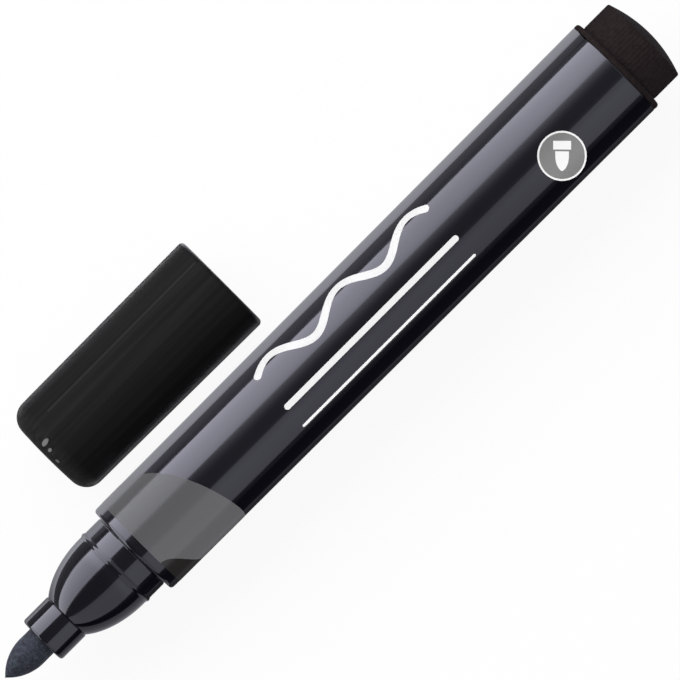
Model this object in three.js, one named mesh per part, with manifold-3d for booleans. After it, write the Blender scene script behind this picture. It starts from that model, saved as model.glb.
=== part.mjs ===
// A permanent marker with a bullet nib, lying on its side with its cap taken off and laid beside it.
// Millimetres, +Z up. The marker lies along X: the nib points to -X and the end plug to +X, and the
// cap lies on its +Y side with its mouth towards +X. The origin is on the surface that both lie on,
// under the middle of the whole. Each piece is drawn along X from the barrel's front face or, for the
// cap, from the plane of its mouth, as a profile of [place along X, radius] points that is revolved.

import * as THREE from "three";
import { mergeVertices } from "three/addons/utils/BufferGeometryUtils.js";
import Module from "manifold-3d";

const wasm = await Module();
wasm.setup();

// Barrel: a tube, whose diameter is measured at its rear end. Its front end is narrower by the taper
const barrelLength = 94.9;
const barrelDiameter = 16;
const barrelTaper = 0.7;
const barrelWall = 1.15;
const barrelFrontRound = 0.55;
const barrelRearRound = 0.25;
const barrelRibCount = 6;
const barrelRibHeight = 0.35;
const barrelRibWidth = 0.8;

// Nose section: spigot, cylinder with a snap bead, dome and tip collar, moulded in one
const noseReveal = 0.13;
const noseRevealDepth = 0.5;
const noseCylinderLength = 4.2;
const domeLength = 8.65;
const collarLength = 5.0;
const collarWall = 1.12;
const collarEdgeRound = 0.4;
const snapBeadHeight = 0.19;
const snapBeadWidth = 1.05;
const snapBeadFromDome = 0.28;
const noseWall = 1.2;
const noseSpigotLength = 8.0;
const nibTubeWall = 0.8;
const nibTubeReach = 6.0;
const nibTubeMouth = 0.15;

// Nib: a felt rod with a pointed bullet tip
const nibDiameter = 4.75;
const nibExposed = 7.3;
const nibPointLength = 5.2;
const nibPointFlat = 0.1;
const nibRearChamfer = 0.5;
const nibFeedDepth = 6.0;
const ventGap = 0.3;
const ventRibCount = 6;
const ventRibWidth = 0.5;

// Reservoir: a fibre rod in a film wrap
const wrapThickness = 0.25;

// End plug: spigot, flange and serrated grip with a domed end
const plugSpigotLength = 7.0;
const plugWall = 1.2;
const plugInnerRound = 1.2;
const plugStopReach = 1.0;
const plugStopWidth = 1.0;
const flangeOverhang = 0;
const flangeThickness = 0.85;
const flangeRound = 0.3;
const gripDiameter = 13.9;
const gripLength = 5.0;
const gripFootLength = 0.2;
const gripEdgeRound = 0.35;
const gripDomeHeight = 1.15;
const serrationCount = 72;
const serrationDepth = 0.14;

// Retaining rings by which the spigots click into the barrel
const ringHeight = 0.14;
const ringWidth = 1.0;

// Cap shell
const capWall = 1.49;
const capDraft = 0.25;
const capEndWall = 1.5;
const capEndRound = 2.8;
const capCrown = 0.08;
const capEndFlatDiameter = 6.4;
const capRimRound = 0.7;
const capInnerEndRound = 1.0;
const capMouthChamfer = 0.3;
const capEndSpace = 5.63;
const capRibCount = 6;
const capRibWidth = 0.9;

// Inner cap: a cup that closes over the tip collar
const innerCapWall = 0.8;
const innerCapFlange = 0.9;
const innerCapFloor = 0.9;
const innerCapLip = 1.2;
const innerCapRelief = 0.2;
const collarClear = 0.6;
const nibHeadroom = 1.4;

// Where the cap lies
const capEndFromBarrelFace = 0.72;
const capToBarrel = 1.9;

// Clearances, all radial unless they say otherwise
const pressFit = 0.05;
const nibFit = 0.05;
const capFit = 0.1;
const sealFit = 0.06;
const ringSideFit = 0.1;
const edgeChamfer = 0.4;
const rootDepth = 0.2;

// Facets
const roundSegments = 40;
const slimSegments = 32;

// Radii that follow from the sizes above
const barrelFrontRadius = (barrelDiameter - barrelTaper) / 2;
const barrelRearRadius = barrelDiameter / 2;
const barrelRadiusAt = (x) => THREE.MathUtils.lerp(barrelFrontRadius, barrelRearRadius, x / barrelLength);
const barrelBoreAt = (x) => barrelRadiusAt(x) - barrelWall;
const noseRadius = barrelBoreAt(0) - noseReveal;
const noseSpigotRadius = barrelBoreAt(0) - pressFit;
const nibRadius = nibDiameter / 2;
const nibBoreRadius = nibRadius + ventGap;
const collarRadius = nibBoreRadius + collarWall;
const barrelLeastBore = Math.min(barrelBoreAt(0), barrelBoreAt(barrelLength));
const reservoirRadius = barrelLeastBore - barrelRibHeight - pressFit;
const flangeRadius = barrelRearRadius + flangeOverhang;
const gripRadius = gripDiameter / 2;
const capBoreRadius = noseRadius + capFit;
const capMouthRadius = capBoreRadius + capWall;
const innerCapBoreRadius = collarRadius + sealFit;
const innerCapRadius = innerCapBoreRadius + innerCapRelief + innerCapWall;

// Places along X, from the barrel's front face
const domeBase = -noseCylinderLength;
const domeFront = domeBase - domeLength;
const collarFront = domeFront - collarLength;
const nibTip = collarFront - nibExposed;
const snapBeadPlace = domeBase + snapBeadFromDome + snapBeadWidth / 2;
const nibRear = noseSpigotLength + nibFeedDepth;
const plugSpigotFront = barrelLength - plugSpigotLength;
const plugSpigotRadius = barrelBoreAt(plugSpigotFront) - pressFit;
const reservoirRear = plugSpigotFront - plugStopReach;
const flangeRear = barrelLength + flangeThickness;
const gripRear = flangeRear + gripLength;
const plugRear = gripRear + gripDomeHeight;

// Depths in the cap, from its mouth. The mouth closes against the barrel's front face
const innerCapMouthDepth = -domeFront + collarClear;
const innerCapEndDepth = -nibTip + nibHeadroom + innerCapFloor;
const capInnerDepth = innerCapEndDepth + capEndSpace;
const capLength = capInnerDepth + capEndWall;

// Points of an arc round (x, r), from one angle to another in degrees
function arc(x, r, radius, from, to, steps) {
  return Array.from({ length: steps + 1 }, (_, i) => {
    const angle = THREE.MathUtils.degToRad(THREE.MathUtils.lerp(from, to, i / steps));
    return [x + radius * Math.cos(angle), r + radius * Math.sin(angle)];
  });
}

// A quarter of an ellipse, or its part that starts at startRadius, up to its base at (base, radius)
function domeCurve(base, radius, length, startRadius, steps) {
  const start = Math.asin(startRadius / radius);
  return Array.from({ length: steps + 1 }, (_, i) => {
    const angle = THREE.MathUtils.lerp(start, Math.PI / 2, i / steps);
    return [base - length * Math.cos(angle), radius * Math.sin(angle)];
  });
}

// A rounded ring that stands out of a cylinder, or a groove where it is followed from rear to front
function ring(place, radius, height, width) {
  const steps = 4;
  return Array.from({ length: steps + 1 }, (_, i) => {
    const along = i / steps;
    return [place + (along - 0.5) * width, radius + height * Math.sin(along * Math.PI)];
  });
}

// Makes a closed mesh into a solid that can be cut and joined
function solidOf(geometry) {
  geometry.deleteAttribute("normal");
  geometry.deleteAttribute("uv");
  const merged = mergeVertices(geometry, 1e-5);
  const corners = merged.index.array;
  const kept = [];
  for (let i = 0; i < corners.length; i += 3) {
    const [a, b, c] = corners.slice(i, i + 3);
    if (a !== b && b !== c && c !== a) kept.push(a, b, c);
  }
  const mesh = new wasm.Mesh({
    numProp: 3,
    vertProperties: new Float32Array(merged.attributes.position.array),
    triVerts: new Uint32Array(kept),
  });
  return new wasm.Manifold(mesh);
}

// Revolves a profile about X. It runs towards +X on the outside and back on the inside
function revolve(profile, segments = roundSegments) {
  const points = profile.map(([x, r]) => new THREE.Vector2(Math.max(r, 0), x));
  if (profile[0][1] > 0) points.push(points[0].clone());
  return new THREE.LatheGeometry(points, segments).rotateZ(-Math.PI / 2);
}

const revolved = (profile, segments) => solidOf(revolve(profile, segments));

// A flat rib with the outline of [place along X, radius] points, at a turn about X
function rib(outline, width, turn) {
  const shape = new THREE.Shape(outline.map(([x, r]) => new THREE.Vector2(x, r)));
  const plate = new THREE.ExtrudeGeometry(shape, { depth: width, bevelEnabled: false });
  return solidOf(plate.translate(0, 0, -width / 2).rotateX(turn));
}

// The same rib at equal turns all round
function ribsRound(count, outline, width) {
  return Array.from({ length: count }, (_, i) => rib(outline, width, ((i + 0.5) / count) * 2 * Math.PI));
}

const rectangle = (from, to, low, high) => [[from, low], [to, low], [to, high], [from, high]];

const joined = (solid, others) => others.reduce((sum, other) => sum.add(other), solid);

// Turns a solid into a named mesh with its own finish
function piece(name, solid, finish) {
  const { vertProperties, triVerts } = solid.getMesh();
  const geometry = new THREE.BufferGeometry();
  geometry.setAttribute("position", new THREE.BufferAttribute(vertProperties, 3));
  geometry.setIndex(new THREE.BufferAttribute(triVerts, 1));
  geometry.computeVertexNormals();
  const mesh = new THREE.Mesh(geometry, new THREE.MeshStandardMaterial(finish));
  mesh.name = name;
  return mesh;
}

// Barrel: its bore keeps the wall's thickness, with a groove near each end for the spigots' rings
function makeBarrel() {
  const grooveWidth = ringWidth + 2 * ringSideFit;
  const noseGroove = ring(noseSpigotLength / 2, barrelBoreAt(0), ringHeight, grooveWidth);
  const plugGroovePlace = plugSpigotFront + plugSpigotLength / 2;
  const plugGroove = ring(plugGroovePlace, barrelBoreAt(plugGroovePlace), ringHeight, grooveWidth);
  const front = barrelFrontRound;
  const rear = barrelRearRound;
  const tube = revolved([
    [0, barrelBoreAt(0)],
    ...arc(front, barrelFrontRadius - front, front, 180, 90, 5),
    ...arc(barrelLength - rear, barrelRearRadius - rear, rear, 90, 0, 2),
    [barrelLength, barrelBoreAt(barrelLength)],
    ...plugGroove.reverse(),
    [noseSpigotLength, barrelBoreAt(0)],
    ...noseGroove.reverse(),
  ]);
  const ribTop = reservoirRadius + pressFit;
  const ribOutline = [
    [noseSpigotLength, ribTop],
    [plugSpigotFront, ribTop],
    [plugSpigotFront, barrelBoreAt(plugSpigotFront) + rootDepth],
    [noseSpigotLength, barrelBoreAt(noseSpigotLength) + rootDepth],
  ];
  return joined(tube, ribsRound(barrelRibCount, ribOutline, barrelRibWidth));
}

// Nose section: a hollow moulding, with the tube that grips the nib standing in its dome
function makeNoseSection() {
  const domeReach = domeLength / Math.sqrt(1 - (collarRadius / noseRadius) ** 2);
  const spigotInner = noseSpigotRadius - noseWall;
  const cavityRadius = noseRadius - noseWall;
  const tubeRadius = nibBoreRadius + nibTubeWall;
  const cavity = domeCurve(domeBase, cavityRadius, domeReach - noseWall, tubeRadius, 5);
  const tubeRear = cavity[0][0] + nibTubeReach;
  const body = revolved([
    [collarFront, nibBoreRadius + nibTubeMouth],
    ...arc(collarFront + collarEdgeRound, collarRadius - collarEdgeRound, collarEdgeRound, 180, 90, 3),
    ...domeCurve(domeBase, noseRadius, domeReach, collarRadius, 10),
    ...ring(snapBeadPlace, noseRadius, snapBeadHeight, snapBeadWidth),
    [noseRevealDepth, noseRadius],
    [noseRevealDepth, noseSpigotRadius],
    ...ring(noseSpigotLength / 2, noseSpigotRadius, ringHeight, ringWidth),
    [noseSpigotLength - edgeChamfer, noseSpigotRadius],
    [noseSpigotLength, noseSpigotRadius - edgeChamfer],
    [noseSpigotLength, spigotInner],
    [domeBase + noseWall, spigotInner],
    ...cavity.reverse(),
    [tubeRear, tubeRadius],
    [tubeRear, nibBoreRadius],
    [collarFront + nibTubeMouth, nibBoreRadius],
  ]);
  const ribFront = collarFront + nibTubeMouth + edgeChamfer;
  const ventRib = rectangle(ribFront, tubeRear, nibRadius + nibFit, nibBoreRadius + rootDepth);
  return joined(body, ribsRound(ventRibCount, ventRib, ventRibWidth));
}

// Nib: a rod whose point is a pointed arch, tangent to the rod. Its steps crowd towards the tip
function makeNib() {
  const archRadius = (nibRadius ** 2 + nibPointLength ** 2) / (2 * nibRadius);
  const steps = 9;
  const crowding = 1.2;
  const point = Array.from({ length: steps + 1 }, (_, i) => {
    const along = nibPointLength * (i / steps) ** crowding;
    const arch = Math.sqrt(archRadius ** 2 - (nibPointLength - along) ** 2);
    return [nibTip + along, Math.max(arch + nibRadius - archRadius, nibPointFlat)];
  });
  return revolved(
    [
      [nibTip, 0],
      ...point,
      [nibRear - nibRearChamfer, nibRadius],
      [nibRear, nibRadius - nibRearChamfer],
      [nibRear, 0],
    ],
    slimSegments,
  );
}

// Reservoir: the fibre rod has a hole at its front, in which the nib's rear end sits
function makeReservoirCore() {
  const radius = reservoirRadius - wrapThickness - pressFit;
  const holeRadius = nibRadius + nibFit;
  return revolved([
    [nibRear, 0],
    [nibRear, holeRadius],
    [noseSpigotLength, holeRadius],
    [noseSpigotLength, radius],
    [reservoirRear, radius],
    [reservoirRear, 0],
  ]);
}

function makeReservoirWrap() {
  return revolved([
    [noseSpigotLength, reservoirRadius - wrapThickness],
    [noseSpigotLength, reservoirRadius],
    [reservoirRear, reservoirRadius],
    [reservoirRear, reservoirRadius - wrapThickness],
  ]);
}

// The plug's grip: every second line of the revolved surface is drawn in, which cuts V-shaped
// serrations between a smooth foot and the domed end
function makeSerratedGrip() {
  const footRadius = gripRadius - serrationDepth;
  const crown = gripRadius - gripEdgeRound;
  const domeTilt = THREE.MathUtils.radToDeg(Math.atan((2 * gripDomeHeight) / crown));
  const domeSteps = 3;
  const dome = Array.from({ length: domeSteps }, (_, i) => {
    const out = crown * (1 - (i + 1) / domeSteps);
    return [gripRear + gripDomeHeight * (1 - (out / crown) ** 2), out];
  });
  const foot = [
    [flangeRear - flangeThickness / 2, 0],
    [flangeRear - flangeThickness / 2, footRadius],
    [flangeRear + gripFootLength, footRadius],
  ];
  const profile = [
    ...foot,
    [flangeRear + gripFootLength, gripRadius],
    ...arc(gripRear - gripEdgeRound, crown, gripEdgeRound, 90, domeTilt, 2),
    [gripRear, crown],
    ...dome,
  ];
  const firstRib = foot.length;
  const lastRib = profile.length - dome.length - 2;
  const grip = revolve(profile, 2 * serrationCount);
  const place = grip.attributes.position;
  for (let i = 0; i < place.count; i += 1) {
    const line = Math.floor(i / profile.length);
    const step = i % profile.length;
    if (line % 2 === 1 && step >= firstRib && step <= lastRib) {
      const radius = Math.hypot(place.getY(i), place.getZ(i));
      const drawnIn = Math.max(radius - serrationDepth, footRadius) / radius;
      place.setXYZ(i, place.getX(i), place.getY(i) * drawnIn, place.getZ(i) * drawnIn);
    }
  }
  return solidOf(grip);
}

// End plug: hollow, with crossed ribs that stop the reservoir
function makeEndPlug() {
  const ringPlace = plugSpigotFront + plugSpigotLength / 2;
  const cavityRadius = plugSpigotRadius - plugWall;
  const cavityRear = gripRear - plugWall;
  const spigotAndFlange = revolved([
    [plugSpigotFront, 0],
    [plugSpigotFront, plugSpigotRadius - edgeChamfer],
    [plugSpigotFront + edgeChamfer, plugSpigotRadius],
    ...ring(ringPlace, plugSpigotRadius, ringHeight, ringWidth),
    [barrelLength, plugSpigotRadius],
    [barrelLength, flangeRadius],
    ...arc(flangeRear - flangeRound, flangeRadius - flangeRound, flangeRound, 90, 0, 3),
    [flangeRear, 0],
  ]);
  const cavity = revolved([
    [plugSpigotFront - edgeChamfer, 0],
    [plugSpigotFront - edgeChamfer, cavityRadius],
    ...arc(cavityRear - plugInnerRound, cavityRadius - plugInnerRound, plugInnerRound, 90, 0, 2),
    [cavityRear, 0],
  ]);
  const reach = cavityRadius + rootDepth;
  const stopEdge = cavityRadius - pressFit;
  const stopOutline = [
    [plugSpigotFront, reach],
    [plugSpigotFront, stopEdge],
    [reservoirRear, stopEdge],
    [reservoirRear, -stopEdge],
    [plugSpigotFront, -stopEdge],
    [plugSpigotFront, -reach],
    [cavityRear + rootDepth, -reach],
    [cavityRear + rootDepth, reach],
  ];
  const crossedStops = [0, Math.PI / 2].map((turn) => rib(stopOutline, plugStopWidth, turn));
  const hollow = spigotAndFlange.add(makeSerratedGrip()).subtract(cavity);
  return joined(hollow, crossedStops);
}

// Cap shell: its bore has a groove that clicks over the nose's bead, and ribs that hold the inner cap
function makeCapShell() {
  const endRadius = capMouthRadius - capDraft;
  const flat = capEndFlatDiameter / 2;
  const groovePlace = snapBeadPlace;
  const groove = ring(groovePlace, capBoreRadius, snapBeadHeight, snapBeadWidth + 2 * ringSideFit);
  const shell = revolved([
    [-capLength, 0],
    [-capLength, flat],
    [-capLength + capCrown, endRadius - capEndRound],
    ...arc(-capLength + capCrown + capEndRound, endRadius - capEndRound, capEndRound, 180, 90, 6).slice(1),
    ...arc(-capRimRound, capMouthRadius - capRimRound, capRimRound, 90, 0, 3),
    [0, capBoreRadius + capMouthChamfer],
    [-capMouthChamfer, capBoreRadius],
    ...groove.reverse(),
    ...arc(-capInnerDepth + capInnerEndRound, capBoreRadius - capInnerEndRound, capInnerEndRound, 90, 180, 3),
    [-capInnerDepth, 0],
  ]);
  const ribFront = -(innerCapMouthDepth + innerCapFlange);
  const ribEnd = -capInnerDepth - rootDepth;
  const ribOutline = rectangle(ribEnd, ribFront, innerCapRadius + pressFit, capBoreRadius + rootDepth);
  return joined(shell, ribsRound(capRibCount, ribOutline, capRibWidth));
}

// Inner cap: a cup with a lip that closes on the tip collar, and a flange that stops on the cap's ribs
function makeInnerCap() {
  const mouth = -innerCapMouthDepth;
  const end = -innerCapEndDepth;
  const flangeOuter = capBoreRadius - pressFit;
  const relief = innerCapBoreRadius + innerCapRelief;
  return revolved([
    [end, 0],
    [end, innerCapRadius - edgeChamfer],
    [end + edgeChamfer, innerCapRadius],
    [mouth - innerCapFlange, innerCapRadius],
    [mouth - innerCapFlange, flangeOuter],
    [mouth, flangeOuter],
    [mouth, innerCapBoreRadius + edgeChamfer],
    [mouth - edgeChamfer, innerCapBoreRadius],
    [mouth - innerCapLip, innerCapBoreRadius],
    [mouth - innerCapLip - innerCapRelief, relief],
    [end + innerCapFloor, relief],
    [end + innerCapFloor, 0],
  ]);
}

const glossPlastic = { color: 0x1c1c24, roughness: 0.2, metalness: 0 };
const satinPlastic = { color: 0x1b1b1b, roughness: 0.5, metalness: 0 };
const mattPlastic = { color: 0x2a2424, roughness: 0.65, metalness: 0 };
const naturalPlastic = { color: 0xdedbd2, roughness: 0.45, metalness: 0 };
const inkedFelt = { color: 0x353a45, roughness: 0.95, metalness: 0 };
const inkedFibre = { color: 0x23252c, roughness: 0.95, metalness: 0 };
const clearFilm = { color: 0xc9ccd0, roughness: 0.3, metalness: 0 };

const body = new THREE.Group();
body.position.set(0, 0, flangeRadius);
body.add(
  piece("barrel", makeBarrel(), glossPlastic),
  piece("nose_section", makeNoseSection(), glossPlastic),
  piece("nib", makeNib(), inkedFelt),
  piece("reservoir_core", makeReservoirCore(), inkedFibre),
  piece("reservoir_wrap", makeReservoirWrap(), clearFilm),
  piece("end_plug", makeEndPlug(), mattPlastic),
);

const capMouthPlace = capEndFromBarrelFace + capLength;
const capOffset = barrelRadiusAt(capMouthPlace) + capToBarrel + capMouthRadius;
const cap = new THREE.Group();
cap.position.set(capMouthPlace, capOffset, capMouthRadius);
cap.add(
  piece("cap_shell", makeCapShell(), satinPlastic),
  piece("inner_cap", makeInnerCap(), naturalPlastic),
);

const marker = new THREE.Group();
marker.position.set(-(nibTip + plugRear) / 2, -(capOffset + capMouthRadius - flangeRadius) / 2, 0);
marker.add(body, cap);

export default marker;
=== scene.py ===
"""A permanent marker with a bullet nib, its cap taken off and laid beside it, dressed round its construction.

The marker lies along X with its nib towards -X, and the cap lies on its +Y side. Lengths are in millimetres
until a mesh is made: MM turns them into metres. Every turned piece is a profile of (place along X, radius)
points, revolved about its own axis.
"""

import math
from collections import namedtuple

import bpy
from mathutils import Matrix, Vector, noise


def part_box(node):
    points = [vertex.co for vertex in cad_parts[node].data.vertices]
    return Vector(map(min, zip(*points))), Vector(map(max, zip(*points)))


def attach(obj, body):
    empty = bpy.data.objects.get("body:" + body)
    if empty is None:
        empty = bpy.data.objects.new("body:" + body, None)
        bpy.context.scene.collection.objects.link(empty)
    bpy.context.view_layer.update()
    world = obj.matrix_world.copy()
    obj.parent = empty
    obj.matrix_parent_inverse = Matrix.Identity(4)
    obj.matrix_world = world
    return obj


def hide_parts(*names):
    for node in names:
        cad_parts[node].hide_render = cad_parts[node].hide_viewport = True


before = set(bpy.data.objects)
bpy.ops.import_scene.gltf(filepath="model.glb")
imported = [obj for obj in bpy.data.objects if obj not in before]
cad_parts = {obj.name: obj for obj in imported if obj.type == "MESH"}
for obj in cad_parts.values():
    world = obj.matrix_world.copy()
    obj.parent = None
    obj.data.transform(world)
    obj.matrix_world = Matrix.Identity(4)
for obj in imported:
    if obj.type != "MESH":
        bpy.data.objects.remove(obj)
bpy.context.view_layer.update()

MM = 0.001

# A point with a smaller radius is on the axis, and lengths less than SAME apart are the same
ON_AXIS = 1e-4
SAME = 0.01

# Barrel: its front edge is a wide round with a tighter lip, and its rear edge turns in by some degrees
BARREL_TAPER = 0.7
BARREL_WALL = 1.15
BARREL_FRONT_ROUND = 0.7
BARREL_FRONT_LIP = 0.2
BARREL_REAR_ROUND = 0.25
BARREL_REAR_TURN = 50

# Nose section
NOSE_REVEAL = 0.13
NOSE_REVEAL_DEPTH = 0.5
NOSE_CYLINDER = 4.2
DOME_LENGTH = 8.65
COLLAR_WALL = 1.12
COLLAR_EDGE_ROUND = 0.4
BEAD_HEIGHT = 0.19
BEAD_WIDTH = 1.05
BEAD_FROM_DOME = 0.28
GROOVE_WIDTH = 0.3
GROOVE_DEPTH = 0.12
NOSE_WALL = 1.2
NIB_TUBE_MOUTH = 0.15

# Nib, held by ribs with air between them
VENT_GAP = 0.3
VENT_RIBS = 6
VENT_RIB_WIDTH = 0.5
VENT_RIB_START = 0.55
NIB_FIT = 0.05
NIB_POINT = 5.2
NIB_POINT_FLAT = 0.1
NIB_POINT_CROWDING = 1.2
NIB_SHOWN = 2.25
NIB_REAR_CHAMFER = 0.5
NIB_DENT_WIDTH = 0.7
NIB_DENT_DEPTH = 0.025

# End plug
FLANGE_THICKNESS = 0.85
FLANGE_ROUND = 0.45
FLANGE_FRONT_EDGE = 0.1
GRIP_RADIUS = 6.95
GRIP_FOOT = 0.2
GRIP_RISE = 0.05
GRIP_FILLET = 0.18
GRIP_EDGE_ROUND = 0.35
GRIP_DOME = 1.15
SERRATIONS = 72
SERRATION_DEPTH = 0.06

# Cap and inner cap
CAP_DRAFT = 0.25
CAP_END_WALL = 1.5
CAP_END_ROUND = 2.8
CAP_END_FLAT = 3.2
CAP_CROWN = 0.08
CAP_CROWN_TILT = 2
CAP_RIM_ROUND = 0.7
CAP_MOUTH_CHAMFER = 0.3
CAP_INNER_ROUND = 1.0
CAP_GROOVE_ROOM = 0.2
CAP_SEAM_WIDTH = 0.32
CAP_SEAM_START = 4.6
CAP_SEAM_TURN = math.radians(34)
INNER_CAP_WALL = 0.8
INNER_CAP_RELIEF = 0.2
INNER_CAP_FLANGE = 0.9
INNER_CAP_LIP = 1.2
INNER_CAP_FLOOR = 0.9

PRESS_FIT = 0.05
CAP_FIT = 0.1
SEAL_FIT = 0.06
EDGE_CHAMFER = 0.4

# Steps round a turned piece
ROUND = 256
NIB_ROUND = 160
INNER_CAP_ROUND = 128
FLUTED_ROUND = 6 * SERRATIONS

# Where the pieces lie, from the frame
Turned = namedtuple("Turned", "front rear radius y z")


def turned(node):
    low, high = (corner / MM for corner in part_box(node))
    return Turned(low.x, high.x, (high.y - low.y) / 2, (low.y + high.y) / 2, (low.z + high.z) / 2)


barrel = turned("barrel")
nose = turned("nose_section")
nib = turned("nib")
plug = turned("end_plug")
cap = turned("cap_shell")
inner_cap = turned("inner_cap")

barrel_front_radius = barrel.radius - BARREL_TAPER / 2
nose_radius = barrel_front_radius - BARREL_WALL - NOSE_REVEAL
nose_spigot_radius = barrel_front_radius - BARREL_WALL - PRESS_FIT
nib_hole_radius = nib.radius + VENT_GAP
collar_radius = nib_hole_radius + COLLAR_WALL
dome_base = barrel.front - NOSE_CYLINDER
bead_place = dome_base + BEAD_FROM_DOME + BEAD_WIDTH / 2
cap_bore_radius = nose_radius + CAP_FIT
inner_cap_bore = collar_radius + SEAL_FIT


def barrel_radius_at(x):
    share = (x - barrel.front) / (barrel.rear - barrel.front)
    return barrel_front_radius + BARREL_TAPER / 2 * share


def spread(low, high, steps):
    return [low + (high - low) * i / steps for i in range(steps + 1)]


def arc(x, r, radius, start, end, steps):
    """Points of an arc round (x, r), between two angles in degrees."""
    turns = [math.radians(angle) for angle in spread(start, end, steps)]
    return [(x + radius * math.cos(turn), r + radius * math.sin(turn)) for turn in turns]


def dome(base, radius, length, start_radius, steps):
    """A quarter of an ellipse from start_radius up to its base, or only that part of it."""
    turns = spread(math.asin(start_radius / radius), math.pi / 2, steps)
    return [(base - length * math.cos(turn), radius * math.sin(turn)) for turn in turns]


def bead(place, radius, height, width, steps=16):
    """A rounded ring that stands out of a cylinder."""
    rises = [(share - 0.5, math.sin(share * math.pi) ** 2) for share in spread(0, 1, steps)]
    return [(place + off * width, radius + height * rise) for off, rise in rises]


def groove(place, radius):
    """A fine V-shaped groove round a cylinder, which shows as a dark line."""
    half = GROOVE_WIDTH / 2
    return [(place - half, radius), (place, radius - GROOVE_DEPTH), (place + half, radius)]


def braced(profile, margin=0.05, shortest=0.4):
    """The profile with points close to both ends of each long straight, so that its shading stays flat."""
    points = []
    for (x0, r0), (x1, r1) in zip(profile, profile[1:] + profile[:1]):
        points.append((x0, r0))
        length = math.hypot(x1 - x0, r1 - r0)
        if length > shortest:
            for share in (margin / length, 1 - margin / length):
                points.append((x0 + (x1 - x0) * share, r0 + (r1 - r0) * share))
    return points


def made(name, vertices, faces, sharp_angle=35):
    """A smooth-shaded object from vertices in millimetres and faces, with sharp edges above an angle."""
    mesh = bpy.data.meshes.new(name)
    mesh.from_pydata([[v * MM for v in vertex] for vertex in vertices], [], faces)
    mesh.shade_smooth()
    mesh.set_sharp_from_angle(angle=math.radians(sharp_angle))
    piece = bpy.data.objects.new(name, mesh)
    bpy.context.scene.collection.objects.link(piece)
    return piece


def store(piece, name, values):
    """Keeps a number for each point of a mesh, which its material finds by the name."""
    stored = piece.data.attributes.new(name, "FLOAT", "POINT")
    for point, value in zip(stored.data, values):
        point.value = value


def spun(name, profile, place, steps=ROUND, relief=None):
    """Revolves a closed profile about the axis of the turned piece at place. Relief changes a point's radius:
    relief(x, r, turn), with the turn measured from the top line towards +Y."""
    rings = []
    vertices = []
    for x, r in profile:
        on_axis = r < ON_AXIS
        count = 1 if on_axis else steps
        first = len(vertices)
        rings.append([first + (0 if on_axis else i) for i in range(steps)])
        for i in range(count):
            turn = 2 * math.pi * i / steps
            radius = 0 if on_axis else r + (relief(x, r, turn) if relief else 0)
            vertices.append((x, place.y + radius * math.sin(turn), place.z + radius * math.cos(turn)))
    faces = []
    for ring, following in zip(rings, rings[1:] + rings[:1]):
        for i in range(steps):
            j = (i + 1) % steps
            corners = list(dict.fromkeys((ring[i], following[i], following[j], ring[j])))
            if len(corners) > 2:
                faces.append(corners)
    return made(name, vertices, faces)


# Materials

# Soft noise lies mostly between these values
NOISE_SPAN = (0.3, 0.7)


def linear(hex_colour):
    """An sRGB hex colour, such as 1b1c22, as linear RGBA."""
    levels = [int(hex_colour[i : i + 2], 16) / 255 for i in (0, 2, 4)]
    return [v / 12.92 if v <= 0.04045 else ((v + 0.055) / 1.055) ** 2.4 for v in levels] + [1]


def add(material, kind, settings=(), links=()):
    """Adds a node: its settings are properties or socket values, and its links come from other sockets."""
    node = material.node_tree.nodes.new(kind)
    for name, value in dict(settings).items():
        if isinstance(name, str) and hasattr(node, name):
            setattr(node, name, value)
        else:
            node.inputs[name].default_value = value
    for name, source in dict(links).items():
        material.node_tree.links.new(source, node.inputs[name])
    return node


def finish(name, colour, roughness, **sockets):
    """A new material and its shader, with the values that are the same all over it."""
    material = bpy.data.materials.new(name)
    material.use_nodes = True
    shader = material.node_tree.nodes["Principled BSDF"]
    shader.inputs["Base Color"].default_value = linear(colour)
    shader.inputs["Roughness"].default_value = roughness
    for socket, value in sockets.items():
        shader.inputs[socket.replace("_", " ")].default_value = value
    return material, shader


def pattern(material, size, detail=2, stretch=(1, 1, 1)):
    """Soft noise whose grain is size millimetres, drawn out along each axis by stretch."""
    place = add(material, "ShaderNodeTexCoord").outputs["Object"]
    scale = [1 / (size * MM * s) for s in stretch]
    scaled = add(material, "ShaderNodeMapping", {"Scale": scale}, {"Vector": place})
    grain = {"Scale": 1.0, "Detail": detail}
    return add(material, "ShaderNodeTexNoise", grain, {"Vector": scaled.outputs["Vector"]}).outputs["Fac"]


def vary(material, shader, socket, source, low, high):
    """Drives a number of the shader between low and high by a pattern."""
    span = {"From Min": NOISE_SPAN[0], "From Max": NOISE_SPAN[1], "To Min": low, "To Max": high}
    value = add(material, "ShaderNodeMapRange", span, {"Value": source})
    material.node_tree.links.new(value.outputs["Result"], shader.inputs[socket])


def mottle(material, shader, source, colours):
    """Runs the shader's colour through several hex colours by a pattern or another number."""
    ramp = add(material, "ShaderNodeValToRGB", {}, {"Fac": source})
    stops = ramp.color_ramp.elements
    while len(stops) < len(colours):
        stops.new(0.5)
    for i, place in enumerate(spread(*NOISE_SPAN, len(colours) - 1)):
        stops[i].position = place
        stops[i].color = linear(colours[i])
    material.node_tree.links.new(ramp.outputs["Color"], shader.inputs["Base Color"])


def emboss(material, shader, source, height):
    """Raises the surface by a pattern, height millimetres high."""
    bump = add(material, "ShaderNodeBump", {"Distance": height * MM}, {"Height": source})
    material.node_tree.links.new(bump.outputs["Normal"], shader.inputs["Normal"])


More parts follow.
